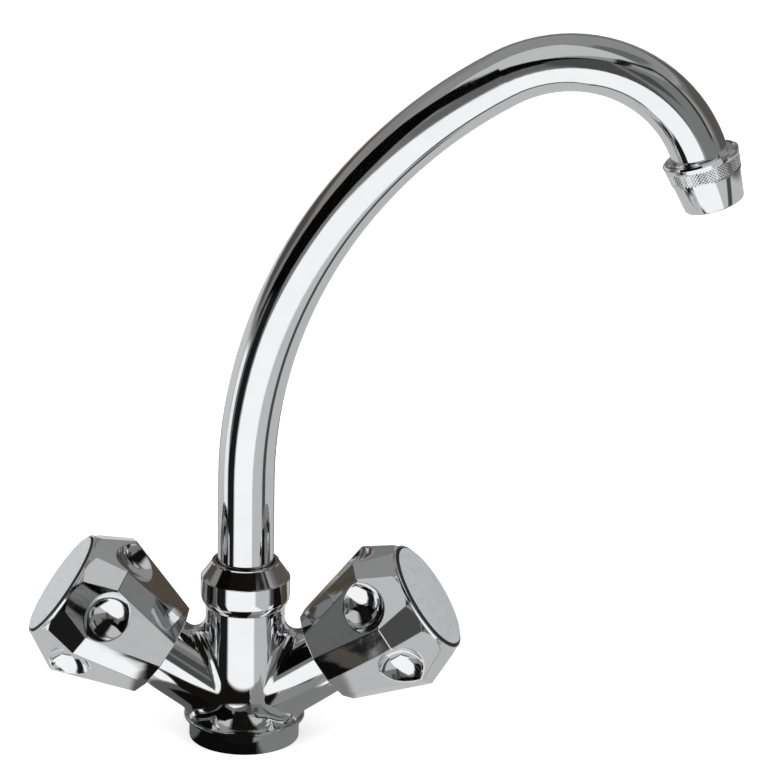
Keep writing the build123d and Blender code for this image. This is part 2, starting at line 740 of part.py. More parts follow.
# Cap: domed disc on a skirt that snaps into the knob's recess
cap_edge_top = cap_bottom + cap_edge_height
cap_skirt_radius = knob_recess_diameter / 2 - seat_gap
dome_radius = (cap_radius ** 2 + cap_dome_height ** 2) / (2 * cap_dome_height)
with BuildPart() as cap:
    with BuildSketch(Plane.XZ):
        with BuildLine():
            RadiusArc((0, cap_edge_top + cap_dome_height), (cap_radius, cap_edge_top), dome_radius)
            Polyline((cap_radius, cap_edge_top), (cap_radius, cap_bottom), (0, cap_bottom),
                     (0, cap_edge_top + cap_dome_height))
        make_face()
    revolve(axis=Axis.Z)
    with BuildSketch(Plane.XY.offset(cap_bottom)):
        Circle(cap_skirt_radius)
        Circle(cap_skirt_radius - cap_skirt_wall, mode=Mode.SUBTRACT)
    extrude(amount=-cap_skirt_length)

# Both arms carry the same valve and knob
arm_pieces = {
    "headwork_body": headwork.part,
    "headwork_gasket": gasket,
    "valve_carrier": carrier.part,
    "seat_washer": seat_washer,
    "washer_screw": washer_screw.part,
}
knob_pieces = {
    "spindle": spindle.part,
    "spindle_o_rings": spindle_rings,
    "circlip": circlip.part,
    "knob": knob.part,
    "knob_screw": knob_screw.part,
    "knob_cap": cap.part,
}
for side_name in sides:
    for piece_name, piece in arm_pieces.items():
        save_on_arm(piece, side_name, piece_name)
    for piece_name, piece in knob_pieces.items():
        save_on_arm(piece, side_name, piece_name, knob_turns[side_name])
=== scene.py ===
"""Single-hole basin mixer: studio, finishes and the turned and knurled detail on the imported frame."""

from __future__ import annotations

import json
import logging
import math
from dataclasses import dataclass, field
from enum import Enum

import bpy
from bpy.types import Material, Node, NodeSocket, NodeTree, Object
from mathutils import Matrix, Vector

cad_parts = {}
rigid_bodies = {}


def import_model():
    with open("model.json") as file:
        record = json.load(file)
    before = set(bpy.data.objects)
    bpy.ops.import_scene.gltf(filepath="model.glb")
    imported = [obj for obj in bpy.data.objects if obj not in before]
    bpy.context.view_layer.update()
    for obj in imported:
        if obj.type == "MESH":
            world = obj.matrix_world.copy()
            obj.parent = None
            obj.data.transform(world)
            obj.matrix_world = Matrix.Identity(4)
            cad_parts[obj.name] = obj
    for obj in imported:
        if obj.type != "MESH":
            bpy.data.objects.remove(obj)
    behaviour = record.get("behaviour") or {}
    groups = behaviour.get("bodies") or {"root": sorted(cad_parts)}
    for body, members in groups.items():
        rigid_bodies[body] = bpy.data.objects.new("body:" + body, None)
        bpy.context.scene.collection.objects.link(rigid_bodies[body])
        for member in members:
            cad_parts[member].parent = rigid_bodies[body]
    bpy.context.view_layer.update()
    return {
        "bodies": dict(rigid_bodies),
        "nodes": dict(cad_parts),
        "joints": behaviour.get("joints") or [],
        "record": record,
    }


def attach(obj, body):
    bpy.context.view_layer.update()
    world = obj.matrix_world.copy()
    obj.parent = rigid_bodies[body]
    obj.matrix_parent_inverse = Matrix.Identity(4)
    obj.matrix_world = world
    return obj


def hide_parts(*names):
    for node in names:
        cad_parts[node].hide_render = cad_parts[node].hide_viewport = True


logging.basicConfig(level=logging.INFO, format="%(name)s: %(message)s")
LOG = logging.getLogger("basin_mixer")

MM = 0.001
FOCAL_PIXELS = 4000.0  # the focal length that fits the photograph, in its pixels
PICTURE_HEIGHT = 774  # the photograph's height in pixels
SENSOR = 36.0  # the longer side of the camera's sensor in millimetres
ARM_LIFT = 34.9  # the angle in degrees at which the arms rise
WHITE = (1.0, 1.0, 1.0)
Colour = tuple[float, float, float]
Point = tuple[float, float]
Place = tuple[float, float, float]


class Body(Enum):
    """The moving bodies that new pieces ride on."""

    SPOUT = "spout"
    LEFT_HANDLE = "left_handle"
    RIGHT_HANDLE = "right_handle"


class Slot(Enum):
    """The record's material slots, named when new pieces are added."""

    CHROME = "chrome"
    RUBBER = "rubber"


class Side(Enum):
    """The two sides of the mixer, seen from the front."""

    LEFT = -1
    RIGHT = 1

    @property
    def word(self) -> str:
        """The side's name as the nodes spell it."""
        return self.name.lower()


# ---- node helpers -------------------------------------------------------------------------------


@dataclass
class Graph:
    """A small writer of shader nodes.

    Args:
        tree: the node tree that is written to.
    """

    tree: NodeTree

    def node(self, kind: str, **inputs: object) -> Node:
        """Adds a node and sets its named inputs, from values or from other nodes' sockets.

        Args:
            kind: the node's type name after "ShaderNode".
            inputs: values or sockets by input name, with _ for a space.

        Returns:
            The new node.
        """
        made = self.tree.nodes.new("ShaderNode" + kind)
        self.fill(made, **inputs)
        return made

    def fill(self, node: Node, **inputs: object) -> None:
        """Sets a node's named inputs.

        Args:
            node: the node that is filled.
            inputs: values or sockets by input name, with _ for a space.
        """
        for name, value in inputs.items():
            self.feed(node, name.replace("_", " "), value)

    def feed(self, node: Node, name: str | int, value: object) -> None:
        """Sets or links one input of a node.

        Args:
            node: the node that is fed.
            name: the input's name or number.
            value: a constant, or the socket that is linked in. A colour is given without its alpha.
        """
        socket = node.inputs[name]
        if isinstance(value, NodeSocket):
            self.tree.links.new(value, socket)
        elif socket.type == "RGBA":
            socket.default_value = (*value, 1)
        else:
            socket.default_value = value

    def place(self) -> NodeSocket:
        """The place on the object, in metres."""
        return self.node("TexCoord").outputs["Object"]

    def noise(self, place: NodeSocket, scale: float, detail: float, roughness: float = 0.5) -> NodeSocket:
        """Draws smooth noise.

        Args:
            place: the place that is drawn on.
            scale: the number of its waves per metre.
            detail: the number of finer layers on them.
            roughness: how strong the finer layers are.

        Returns:
            Its value, 0 to 1.
        """
        made = self.node("TexNoise", Vector=place, Scale=scale, Detail=detail, Roughness=roughness)
        return made.outputs["Fac"]

    def relief(self, shader: Node, height: NodeSocket, strength: float, distance: float) -> None:
        """Gives a shader a fine relief.

        Args:
            shader: the shader.
            height: the relief's height, 0 to 1.
            strength: how much of it shows, 0 to 1.
            distance: its full height in metres.
        """
        bump = self.node("Bump", Height=height, Strength=strength, Distance=distance)
        self.feed(shader, "Normal", bump.outputs["Normal"])

    def maths(self, operation: str, *values: object) -> NodeSocket:
        """Adds a Math node.

        Args:
            operation: the node's operation.
            values: its inputs in order.

        Returns:
            Its output.
        """
        made = self.node("Math")
        made.operation = operation
        for index, value in enumerate(values):
            self.feed(made, index, value)
        return made.outputs[0]

    def ranged(self, value: NodeSocket, low: float, high: float, start: float, end: float) -> NodeSocket:
        """Maps a value from low..high to start..end with a smooth step.

        Args:
            value: the socket that is mapped.
            low: the value that gives start.
            high: the value that gives end.
            start: the result at low.
            end: the result at high.

        Returns:
            The mapped value.
        """
        made = self.node("MapRange")
        made.interpolation_type = "SMOOTHSTEP"
        for index, entry in enumerate((value, low, high, start, end)):
            self.feed(made, index, entry)
        return made.outputs[0]

    def mixed(self, factor: object, first: object, second: object) -> NodeSocket:
        """Mixes two colours.

        Args:
            factor: 0 for the first, 1 for the second.
            first: a colour or a socket.
            second: a colour or a socket.

        Returns:
            The mixed colour.
        """
        made = self.node("Mix")
        made.data_type = "RGBA"
        # the node has an input for each kind of value: its colours are 6 and 7, and its mixed colour is 2
        self.feed(made, 0, factor)
        self.feed(made, 6, first)
        self.feed(made, 7, second)
        return made.outputs[2]


def new_material(name: str) -> tuple[Material, Graph, Node]:
    """Makes a material with an empty Principled shader.

    Args:
        name: the material's name.

    Returns:
        The material, its graph and the shader node.
    """
    material = bpy.data.materials.new(name)
    material.use_nodes = True
    return material, Graph(material.node_tree), material.node_tree.nodes["Principled BSDF"]


# ---- turned pieces ------------------------------------------------------------------------------


@dataclass(frozen=True)
class Lathe:
    """Turns a closed outline round the Z axis and puts the piece in its place.

    Args:
        name: the piece's name.
        outline: the outline's corners as (radius, height) in millimetres.
        steps: the number of steps round the axis.
    """

    name: str
    outline: tuple[Point, ...]
    steps: int

    def turn(self) -> Object:
        """Draws the outline and spins it.

        Returns:
            The new object, in edit mode.
        """
        bpy.ops.object.select_all(action="DESELECT")
        bpy.ops.mesh.primitive_plane_add(size=MM)
        piece = bpy.context.object
        piece.name = self.name
        piece.data.name = self.name
        bpy.ops.object.mode_set(mode="EDIT")
        bpy.ops.mesh.select_all(action="SELECT")
        bpy.ops.mesh.merge(type="CENTER")
        radius, height = self.outline[0]
        bpy.ops.transform.translate(value=(radius * MM, 0, height * MM))
        for next_radius, next_height in self.outline[1:] + self.outline[:1]:
            step = ((next_radius - radius) * MM, 0, (next_height - height) * MM)
            bpy.ops.mesh.extrude_vertices_move(TRANSFORM_OT_translate={"value": step})
            radius, height = next_radius, next_height
        bpy.ops.mesh.select_all(action="SELECT")
        bpy.ops.mesh.spin(steps=self.steps, angle=2 * math.pi, center=(0, 0, 0), axis=(0, 0, 1))
        bpy.ops.mesh.select_all(action="SELECT")
        bpy.ops.mesh.remove_doubles(threshold=0.001 * MM)
        bpy.ops.mesh.normals_make_consistent(inside=False)
        return piece

    @staticmethod
    def place(piece: Object, frame: Matrix, sharp: float) -> None:
        """Leaves edit mode, moves the piece into its frame and shades it.

        Args:
            piece: the object that turn gave.
            frame: where its axis and origin go.
            sharp: the angle in degrees above which an edge stays sharp.
        """
        bpy.ops.object.mode_set(mode="OBJECT")
        piece.matrix_world = frame
        bpy.ops.object.transform_apply(location=True, rotation=True, scale=True)
        bpy.ops.object.shade_smooth_by_angle(angle=math.radians(sharp))


# ---- finishes -----------------------------------------------------------------------------------


@dataclass(frozen=True)
class PolishedChrome:
    """Bright nickel-chrome plating over polished brass or plastic.

    Args:
        name: the material's name.
        colour: the plating's colour.
        dimming: the share of that colour that is left in the haze.
        roughness: the roughness of the clearest places.
        clouding: how much rougher the haze is.
        wear: how much rougher the wiping marks are.
        haze: the number of hazy places per metre.
        wipes: the number of wiping marks per metre along each axis.
        waves: the number of faint waves per metre.
        ripple: the waves' height in metres.
        swell: the height of the polisher's hollows in metres.
        hollows: the number of these hollows per metre along the arm and across it both ways.
        lift: the angle in degrees at which the arms rise.
        softened: the radius of the softened edges in metres.
    """

    name: str = "bright_chrome"
    colour: Colour = (0.86, 0.865, 0.875)
    dimming: float = 0.97
    roughness: float = 0.035
    clouding: float = 0.045
    wear: float = 0.05
    haze: float = 85.0
    wipes: Place = (900, 900, 120)
    waves: float = 140.0
    ripple: float = 0.00001
    swell: float = 0.0
    hollows: Place = (14, 170, 170)
    lift: float = ARM_LIFT
    softened: float = 0.0

    def material(self) -> Material:
        """Builds the plating: fine wiping marks, faint haze, slight waviness and softened edges."""
        material, graph, shader = new_material(self.name)
        place = graph.place()
        haze = graph.noise(place, self.haze, 4.0, 0.6)
        stretched = graph.node("Mapping", Vector=place, Scale=self.wipes).outputs["Vector"]
        marks = graph.ranged(graph.noise(stretched, 1.0, 3.0), 0.55, 0.75, 0.0, self.wear)
        clouds = graph.ranged(haze, 0.35, 0.75, self.roughness, self.roughness + self.clouding)
        dimmed = tuple(part * self.dimming for part in self.colour)
        colour = graph.mixed(graph.ranged(haze, 0.3, 0.7, 0.0, 1.0), self.colour, dimmed)
        graph.fill(shader, Base_Color=colour, Metallic=1.0, Roughness=graph.maths("ADD", clouds, marks))
        waves = graph.noise(place, self.waves, 1.0)
        layers = [graph.node("Bump", Height=waves, Strength=0.12, Distance=self.ripple)]
        if self.swell:
            hollows = self.streaks(graph, place)
            layers.append(graph.node("Bump", Height=hollows, Strength=1.0, Distance=self.swell))
        if self.softened:
            edges = graph.node("Bevel", Radius=self.softened)
            edges.samples = 8
            layers.append(edges)
        for upper, lower in zip(layers, layers[1:]):
            graph.feed(upper, "Normal", lower.outputs["Normal"])
        graph.feed(shader, "Normal", layers[0].outputs["Normal"])
        return material

    def streaks(self, graph: Graph, place: NodeSocket) -> NodeSocket:
        """Draws the polisher's long shallow hollows, which run along either arm.

        Args:
            graph: the graph that is written to.
            place: the place on the mixer.

        Returns:
            Their height, 0 to 1.
        """
        parts = graph.node("SeparateXYZ", Vector=place).outputs
        mirrored = graph.node("CombineXYZ", X=graph.maths("ABSOLUTE", parts["X"]), Y=parts["Y"], Z=parts["Z"])
        level = (0, math.radians(self.lift), 0)
        turned = graph.node("Mapping", Vector=mirrored.outputs["Vector"], Rotation=level)
        drawn = graph.node("Mapping", Vector=turned.outputs["Vector"], Scale=self.hollows)
        return graph.noise(drawn.outputs["Vector"], 1.0, 1.5)


@dataclass(frozen=True)
class SatinAluminium:
    """Fine-brushed, clear-lacquered aluminium of the discs in the handles' ends.

    Args:
        name: the material's name.
        colour: the metal's mean colour.
        contrast: the shares of that colour in the darkest and the palest grain.
        roughness: the roughness of the smoothest and the roughest grain.
        grain: the number of grains per metre.
        patches: the number of coarser patches per metre.
        relief: the grain's height in metres.
    """

    name: str = "satin_aluminium"
    colour: Colour = (0.77, 0.82, 0.84)
    contrast: Point = (0.93, 1.08)
    roughness: Point = (0.36, 0.50)
    grain: float = 1500.0
    patches: float = 420.0
    relief: float = 0.00002

    def material(self) -> Material:
        """Builds the disc's finish: a fine mottled grain under a thin lacquer."""
        material, graph, shader = new_material(self.name)
        place = graph.place()
        grain = graph.noise(place, self.grain, 3.0)
        patches = graph.noise(place, self.patches, 4.0)
        tone = graph.maths("MULTIPLY", graph.maths("ADD", grain, patches), 0.5)
        darker, paler = (tuple(min(1.0, part * share) for part in self.colour) for share in self.contrast)
        colour = graph.mixed(graph.ranged(tone, 0.35, 0.65, 0.0, 1.0), darker, paler)
        graph.fill(shader, Base_Color=colour, Metallic=0.35, Coat_Weight=0.25, Coat_Roughness=0.12)
        graph.feed(shader, "Roughness", graph.ranged(grain, 0.3, 0.7, *self.roughness))
        graph.relief(shader, grain, 0.2, self.relief)
        return material


@dataclass(frozen=True)
class TurnedMetal:
    """A bare turned metal with a fine grain and slight tarnish.

    Args:
        name: the material's name.
        colour: the clean metal's colour.
        tarnish: the colour in the duller patches.
        roughness: the roughness of the clean metal.
        dulling: how much rougher the duller patches are.
        patches: the number of patches per metre.
        cuts: the number of tool marks per metre.
        relief: the tool marks' depth in metres.
    """

    name: str
    colour: Colour
    tarnish: Colour
    roughness: float
    dulling: float = 0.25
    patches: float = 220.0
    cuts: float = 3200.0
    relief: float = 0.00002

    def material(self) -> Material:
        """Builds the metal: tool marks, tarnish and duller patches."""
        material, graph, shader = new_material(self.name)
        place = graph.place()
        patches = graph.noise(place, self.patches, 5.0)
        colour = graph.mixed(graph.ranged(patches, 0.45, 0.75, 0.0, 1.0), self.colour, self.tarnish)
        rough = graph.ranged(patches, 0.35, 0.8, self.roughness, self.roughness + self.dulling)
        graph.fill(shader, Base_Color=colour, Metallic=1.0, Roughness=rough)
        graph.relief(shader, graph.noise(place, self.cuts, 2.0), 0.15, self.relief)
        return material


@dataclass(frozen=True)
class MouldedStuff:
    """A non-metal: rubber, pressed fibre or acetal.

    Args:
        name: the material's name.
        colour: the main colour.
        speckle: the colour of the flecks or bloom.
        roughness: the surface's mean roughness.
        grain: the number of grains per metre.
        relief: the grain's height in metres.
        blooms: the number of grains to one patch of bloom.
    """

    name: str
    colour: Colour
    speckle: Colour
    roughness: float
    grain: float
    relief: float
    blooms: float = 9.0

    def material(self) -> Material:
        """Builds the stuff with flecks in its colour, roughness and relief."""
        material, graph, shader = new_material(self.name)
        place = graph.place()
        flecks = graph.noise(place, self.grain, 4.0)
        bloom = graph.noise(place, self.grain / self.blooms, 3.0)
        colour = graph.mixed(graph.ranged(flecks, 0.5, 0.75, 0.0, 0.7), self.colour, self.speckle)
        rough = graph.ranged(bloom, 0.3, 0.7, self.roughness - 0.08, self.roughness + 0.1)
        graph.fill(shader, Base_Color=colour, Roughness=rough)
        graph.relief(shader, flecks, 0.4, self.relief)
        return material


@dataclass(frozen=True)
class WovenScreen:
    """Woven stainless wire of the aerator's screens, drawn as a fine square weave.

    Args:
        name: the material's name.
        pitch: the distance from wire to wire in metres.
        tilt: the turn of the screens' plane about each axis in radians, as the outlet stands.
        wire: the wire's colour.
        hole: the colour between the wires, a painted shade that stands for the dark openings.
        relief: the wires' height in metres.
    """

    name: str = "woven_screen"
    pitch: float = 0.00055
    tilt: Place = (0.0, -0.331, 0.122)
    wire: Colour = (0.62, 0.62, 0.6)
    hole: Colour = (0.02, 0.02, 0.02)
    relief: float = 0.00012

    def material(self) -> Material:
        """Builds the weave: bright wires between holes that are painted dark as shade."""
        material, graph, shader = new_material(self.name)
        turned = graph.node("Mapping", Vector=graph.place(), Rotation=self.tilt).outputs["Vector"]
        parts = graph.node("SeparateXYZ", Vector=turned)
        wires = []
        for axis in ("X", "Y"):
            along = graph.maths("MULTIPLY", parts.outputs[axis], 2 * math.pi / self.pitch)
            wires.append(graph.ranged(graph.maths("SINE", along), -0.2, 0.5, 0.0, 1.0))
        weave = graph.maths("MAXIMUM", *wires)
        rough = graph.ranged(weave, 0.0, 1.0, 0.9, 0.25)
        # the near-black hole colour is painted shade in place of the openings between the wires
        graph.fill(shader, Base_Color=graph.mixed(weave, self.hole, self.wire), Metallic=1.0, Roughness=rough)
        graph.relief(shader, weave, 1.0, self.relief)
        return material


@dataclass
class Finishes:
    """All the finishes of the mixer, made once."""

    chrome: Material = field(init=False)
    knob_chrome: Material = field(init=False)
    satin: Material = field(init=False)
    brass: Material = field(init=False)
    steel: Material = field(init=False)
    rubber: Material = field(init=False)
    fibre: Material = field(init=False)
    acetal: Material = field(init=False)
    screen: Material = field(init=False)

    def __post_init__(self) -> None:
        """Builds each material."""
        self.chrome = PolishedChrome().material()
        self.knob_chrome = PolishedChrome("knob_chrome", wear=0.04, swell=0.00012, softened=0.0006).material()
        self.satin = SatinAluminium().material()
        self.brass = TurnedMetal("turned_brass", (0.79, 0.60, 0.28), (0.52, 0.36, 0.15), 0.24).material()
        self.steel = TurnedMetal("stainless_steel", (0.62, 0.61, 0.59), (0.45, 0.44, 0.42), 0.22).material()
        # black rubber for the seals and washers, and painted shade on the rings in the caps' grooves
        rubber = MouldedStuff("black_rubber_and_groove_shade", (0.018, 0.018, 0.02), (0.05, 0.05, 0.055), 0.62, 2400, 3e-5)
        fibre = MouldedStuff("pressed_fibre", (0.42, 0.12, 0.07), (0.60, 0.28, 0.18), 0.8, 3000, 4e-5)
        acetal = MouldedStuff("white_acetal", (0.80, 0.80, 0.77), (0.70, 0.70, 0.68), 0.38, 1500, 1e-5)
        self.rubber, self.fibre, self.acetal = rubber.material(), fibre.material(), acetal.material()
        self.screen = WovenScreen().material()


# ---- the studio ---------------------------------------------------------------------------------


@dataclass(frozen=True)
class Panel:
    """One soft-edged field of the room that the chrome mirrors, by direction from the mixer.

    Args:
        corners: its corners as (azimuth, elevation) in degrees, going round anticlockwise. Azimuth is 0
            towards the camera and grows to the right. On a card they are places in metres.
        colour: its brightness in each colour.
        soft: the width of its edge in degrees, or in metres on a card.
    """

    corners: tuple[Point, ...]
    colour: Colour
    soft: float


def box(left: float, right: float, low: float, high: float) -> tuple[Point, ...]:
    """The corners of an upright rectangle, anticlockwise."""
    return ((left, low), (right, low), (right, high), (left, high))


def grey(level: float, warm: float = 0.0) -> Colour:
    """A grey of the given display level, slightly warm where asked.

    Args:
        level: the level as it displays, 0 to 1.
        warm: how far the red is raised and the blue lowered.

    Returns:
        The linear colour.
    """
    linear = level**2.2
    return (linear * (1 + warm), linear, linear * (1 - warm))


def arc(radius: float, start: float, end: float, count: int = 12) -> tuple[Point, ...]:
    """Corners on a circle round the mixer's axis, anticlockwise.

    Args:
        radius: the circle's radius in metres.
        start: the first corner's azimuth in degrees.
        end: the last corner's azimuth.
        count: the number of corners.

    Returns:
        The corners as (x, y) in metres.
    """
    turns = [math.radians(start + (end - start) * index / (count - 1)) for index in range(count)]
    return tuple((radius * math.sin(turn), -radius * math.cos(turn)) for turn in turns)


class Hang(Enum):
    """How a card hangs: its turn about X in degrees and whether its back is the side that shows."""

    OVERHEAD = (0, True)
    LYING = (0, False)
    UPRIGHT = (90, False)
    FACING_BACK = (90, True)


@dataclass(frozen=True)
class Card:
    """A clear flat sheet close to the mixer with painted patches, which only the chrome mirrors.

    Args:
        name: the card's name.
        place: where its own origin is, in metres.
        patches: its patches, with corners as (x, y) in its own plane and edges' widths in metres.
        hang: how it hangs and which side shows.
    """

    name: str
    place: Place
    patches: tuple[Panel, ...]
    hang: Hang


@dataclass(frozen=True)
class Lamp:
    """A soft square lamp, which no chrome mirrors.

    Args:
        name: the lamp's name.
        place: where it hangs, in metres.
        power: its power in watts.
        size: its side in metres.
    """

    name: str
    place: Place
    power: float
    size: float = 0.9


@dataclass
class Studio:
    """Camera, pale floor, soft lamps and the room that the chrome mirrors. Lengths are in metres.

    Args:
        camera_place: where the camera stands.
        yaw: how far it looks to the left of straight ahead, in degrees.
        pitch: how far it looks down, in degrees.
        roll: how far it is tilted to its side, in degrees.
        lens: its focal length in millimetres.
        floor_size: the floor's side.
        floor_drop: how far it lies under the mixer.
        floor_tone: its brightness.
        floor_glow: its own light in the camera's view.
        even_level: the brightness that matt surfaces get from all sides.
        card_size: the side of each card.
        lamps: the lamps.
        aim: the point that they look at.
        room_base: what the chrome mirrors where the room has no panel.
        room: the room's panels, each painted over the ones before it.
        cards: the cards near the mixer, which only the chrome mirrors.
    """

    camera_place: Place = (0.0869, -1.1933, 0.5219)
    yaw: float = 2.1
    pitch: float = 18.6
    roll: float = -1.2
    lens: float = FOCAL_PIXELS / PICTURE_HEIGHT * SENSOR
    floor_size: float = 8.0
    floor_drop: float = 0.00002
    floor_tone: float = 0.93
    floor_glow: float = 0.5
    even_level: float = 0.75
    card_size: float = 0.4
    lamps: tuple[Lamp, ...] = (
        Lamp("soft_key", (-0.7, -0.9, 1.1), 5.0),
        Lamp("soft_fill", (0.9, -0.6, 0.9), 3.0),
    )
    aim: Place = (0.03, 0, 0.1)
    room_base: Colour = grey(0.76)
    room: tuple[Panel, ...] = (
        # the walls all round and what is above them
        Panel(box(-190, 190, -12, 34), grey(0.48), 6),
        Panel(box(-190, 190, 34, 100), grey(0.56), 8),
        # the back of the room: a dark corner on the right, a pale table and two brown fields on the left
        Panel(box(98, 156, -10, 28), grey(0.34, 0.08), 10),
        Panel(box(-179, -100, -18, 2), grey(0.80), 6),
        Panel(box(-150, -82, 22, 42), grey(0.52, 0.06), 6),
        Panel(box(-148, -104, 4, 21), grey(0.30, 0.12), 6),
        # the ceiling in front with a darker field on its right
        Panel(((-80, 55), (0, 36), (60, 46), (60, 90), (-80, 90)), grey(0.77), 5),
        Panel(box(62, 110, 48, 74), grey(0.42), 6),
        # the white sweep in front and a white strip on its left
        Panel(((-50, -62), (20, -75), (60, -45), (24, -16), (0, 4), (-24, 10), (-42, 0)), grey(1.02), 4),
        Panel(box(-98, -80, -34, 1), grey(0.98), 4),
        # the dark edge of the table under the sweep
        Panel(((-52, -64), (-50, -70), (20, -83), (20, -77)), grey(0.3), 2),
        Panel(((20, -77), (20, -83), (68, -52), (60, -47)), grey(0.3), 2),
        # the grey field above the sweep
        Panel(((-28, 9), (-2, 3), (24, -20), (24, 16), (0, 27), (-30, 24)), grey(0.40), 5),
        # the dark boom on the left, its arm to the right and the arm's foot
        Panel(((-90, 5), (-58, 2), (-30, 20), (-26, 47), (-60, 54), (-84, 44)), grey(0.05), 3),
        Panel(((-32, 22), (0, 20), (24, 10), (27, 30), (0, 38), (-30, 48)), grey(0.05), 3),
        Panel(((16, -12), (22, -12), (27, 30), (6, 25)), grey(0.30), 3),
        # dark and grey strips low on the left, and a grey field in front on the right
        Panel(box(-77, -48, -50, 8), grey(0.13), 4),
        Panel(box(-81, -72, -14, 9), grey(0.40), 3),
        Panel(box(28, 42, 7, 24), grey(0.3), 4),
        # the dark frame on the right with a pale strip beside it
        Panel(((27, 26), (31, 26), (48, 41), (45, 45), (38, 42)), grey(0.10), 2),
        Panel(box(42, 76, 40, 45), grey(0.16), 3),
        Panel(box(70, 79, 6, 42), grey(0.22), 4),
        Panel(box(81, 88, 8, 30), grey(0.62), 4),
        # the floor on the right, dark and then pale
        Panel(box(72, 88, -56, -10), grey(0.30), 5),
        Panel(box(92, 152, -52, -14), grey(0.74), 8),
    )
    cards: tuple[Card, ...] = (
        Card("black_card_above", (0, 0, 0.086), (
            Panel(((-0.07, -0.19), (0.034, -0.19), (0.026, -0.008), (-0.022, -0.008)),
                  grey(0.09, 0.2), 0.012),), Hang.OVERHEAD),
        Card("brown_card_behind", (0, 0.032, 0), (
            Panel(box(-0.024, 0.024, 0.03, 0.1), grey(0.3, 0.2), 0.02),), Hang.UPRIGHT),
        Card("patches_on_the_floor", (0, 0, -0.00001), (
            Panel(((0, 0), *arc(0.058, -38, 24)), grey(0.30, 0.1), 0.006),
            Panel(((0, 0), *arc(0.058, 24, 50)), grey(0.60), 0.004),
            Panel(arc(0.038, 16, 196), grey(0.50), 0.004),
            Panel(((0, 0), *arc(0.040, -164, -36)), grey(0.36), 0.004),
            Panel(((0, 0), *arc(0.050, -38, 24)), grey(0.08), 0.004),
            Panel(((0, 0), *arc(0.034, -70, 20)), grey(0.08), 0.003)), Hang.LYING),
        Card("low_card_in_front", (0, -0.026, 0), (
            Panel(box(-0.026, 0.008, -0.002, 0.0148), grey(0.10, 0.2), 0.002),
            Panel(box(0.008, 0.026, -0.002, 0.0148), grey(0.55), 0.002)), Hang.FACING_BACK),
    )

    def camera(self) -> None:
        """Places the camera at the photograph's angle."""
        yaw, pitch, roll = (math.radians(angle) for angle in (self.yaw, self.pitch, self.roll))
        ahead = Vector((-math.sin(yaw) * math.cos(pitch), math.cos(yaw) * math.cos(pitch), -math.sin(pitch)))
        right = Vector((math.cos(yaw), math.sin(yaw), 0))
        down = ahead.cross(right)
        across = math.cos(roll) * right + math.sin(roll) * down
        below = -math.sin(roll) * right + math.cos(roll) * down
        data = bpy.data.cameras.new("camera")
        data.lens = self.lens
        data.sensor_width = SENSOR
        data.clip_start = 0.01
        camera = bpy.data.objects.new("camera", data)
        camera.matrix_world = Matrix((across, -below, -ahead)).transposed().to_4x4()
        camera.matrix_world.translation = Vector(self.camera_place)
        bpy.context.scene.collection.objects.link(camera)
        bpy.context.scene.camera = camera

    def world(self) -> None:
        """Builds the world: white to the camera, an even level on matt surfaces, the room in reflections."""
        world = bpy.data.worlds.new("studio")
        bpy.context.scene.world = world
        world.use_nodes = True
        graph = Graph(world.node_tree)
        parts = graph.node("SeparateXYZ", Vector=graph.node("TexCoord").outputs["Generated"])
        towards = graph.maths("MULTIPLY", parts.outputs["Y"], -1.0)
        azimuth = graph.maths("DEGREES", graph.maths("ARCTAN2", parts.outputs["X"], towards))
        elevation = graph.maths("DEGREES", graph.maths("ARCSINE", parts.outputs["Z"]))
        place = graph.node("CombineXYZ", X=azimuth, Y=elevation, Z=1.0).outputs["Vector"]
        picture: object = self.room_base
        for panel in self.room:
            picture = graph.mixed(self.inside(graph, place, panel), picture, panel.colour)
        rays = graph.node("LightPath")
        even = graph.mixed(rays.outputs["Is Glossy Ray"], (self.even_level,) * 3, picture)
        seen = graph.mixed(rays.outputs["Is Camera Ray"], even, WHITE)
        graph.feed(world.node_tree.nodes["Background"], "Color", seen)

    @staticmethod
    def inside(graph: Graph, place: NodeSocket, panel: Panel) -> NodeSocket:
        """How far a direction or a place on a card lies inside a panel.

        Args:
            graph: the graph that is written to.
            place: the direction's azimuth and elevation, or the place's x and y, and then 1.
            panel: the panel, with its corners anticlockwise.

        Returns:
            A socket that is 1 inside and 0 outside.
        """
        cover: NodeSocket | None = None
        corners = panel.corners
        for (x, y), (next_x, next_y) in zip(corners, corners[1:] + corners[:1]):
            run, rise = next_x - x, next_y - y
            length = math.hypot(run, rise)
            inwards = (-rise / length, run / length)
            dot = graph.node("VectorMath")
            dot.operation = "DOT_PRODUCT"
            graph.feed(dot, 0, place)
            graph.feed(dot, 1, (*inwards, -(inwards[0] * x + inwards[1] * y)))
            edge = graph.ranged(dot.outputs["Value"], -panel.soft / 2, panel.soft / 2, 0.0, 1.0)
            cover = edge if cover is None else graph.maths("MULTIPLY", cover, edge)
        return cover

    def floor(self) -> None:
        """Lays the pale floor, which fades to white round the mixer and keeps its shadow."""
        bpy.ops.mesh.primitive_plane_add(size=self.floor_size, location=(0, 0, -self.floor_drop))
        floor = bpy.context.object
        floor.name = "studio_floor"
        material, graph, shader = new_material("pale_floor")
        seen = graph.node("LightPath").outputs["Is Camera Ray"]
        glow = graph.maths("MULTIPLY", seen, self.floor_glow)
        graph.fill(shader, Base_Color=(self.floor_tone,) * 3, Roughness=0.9, Specular_IOR_Level=0.0)
        graph.fill(shader, Emission_Color=WHITE, Emission_Strength=glow)
        floor.data.materials.append(material)
        floor.visible_glossy = False

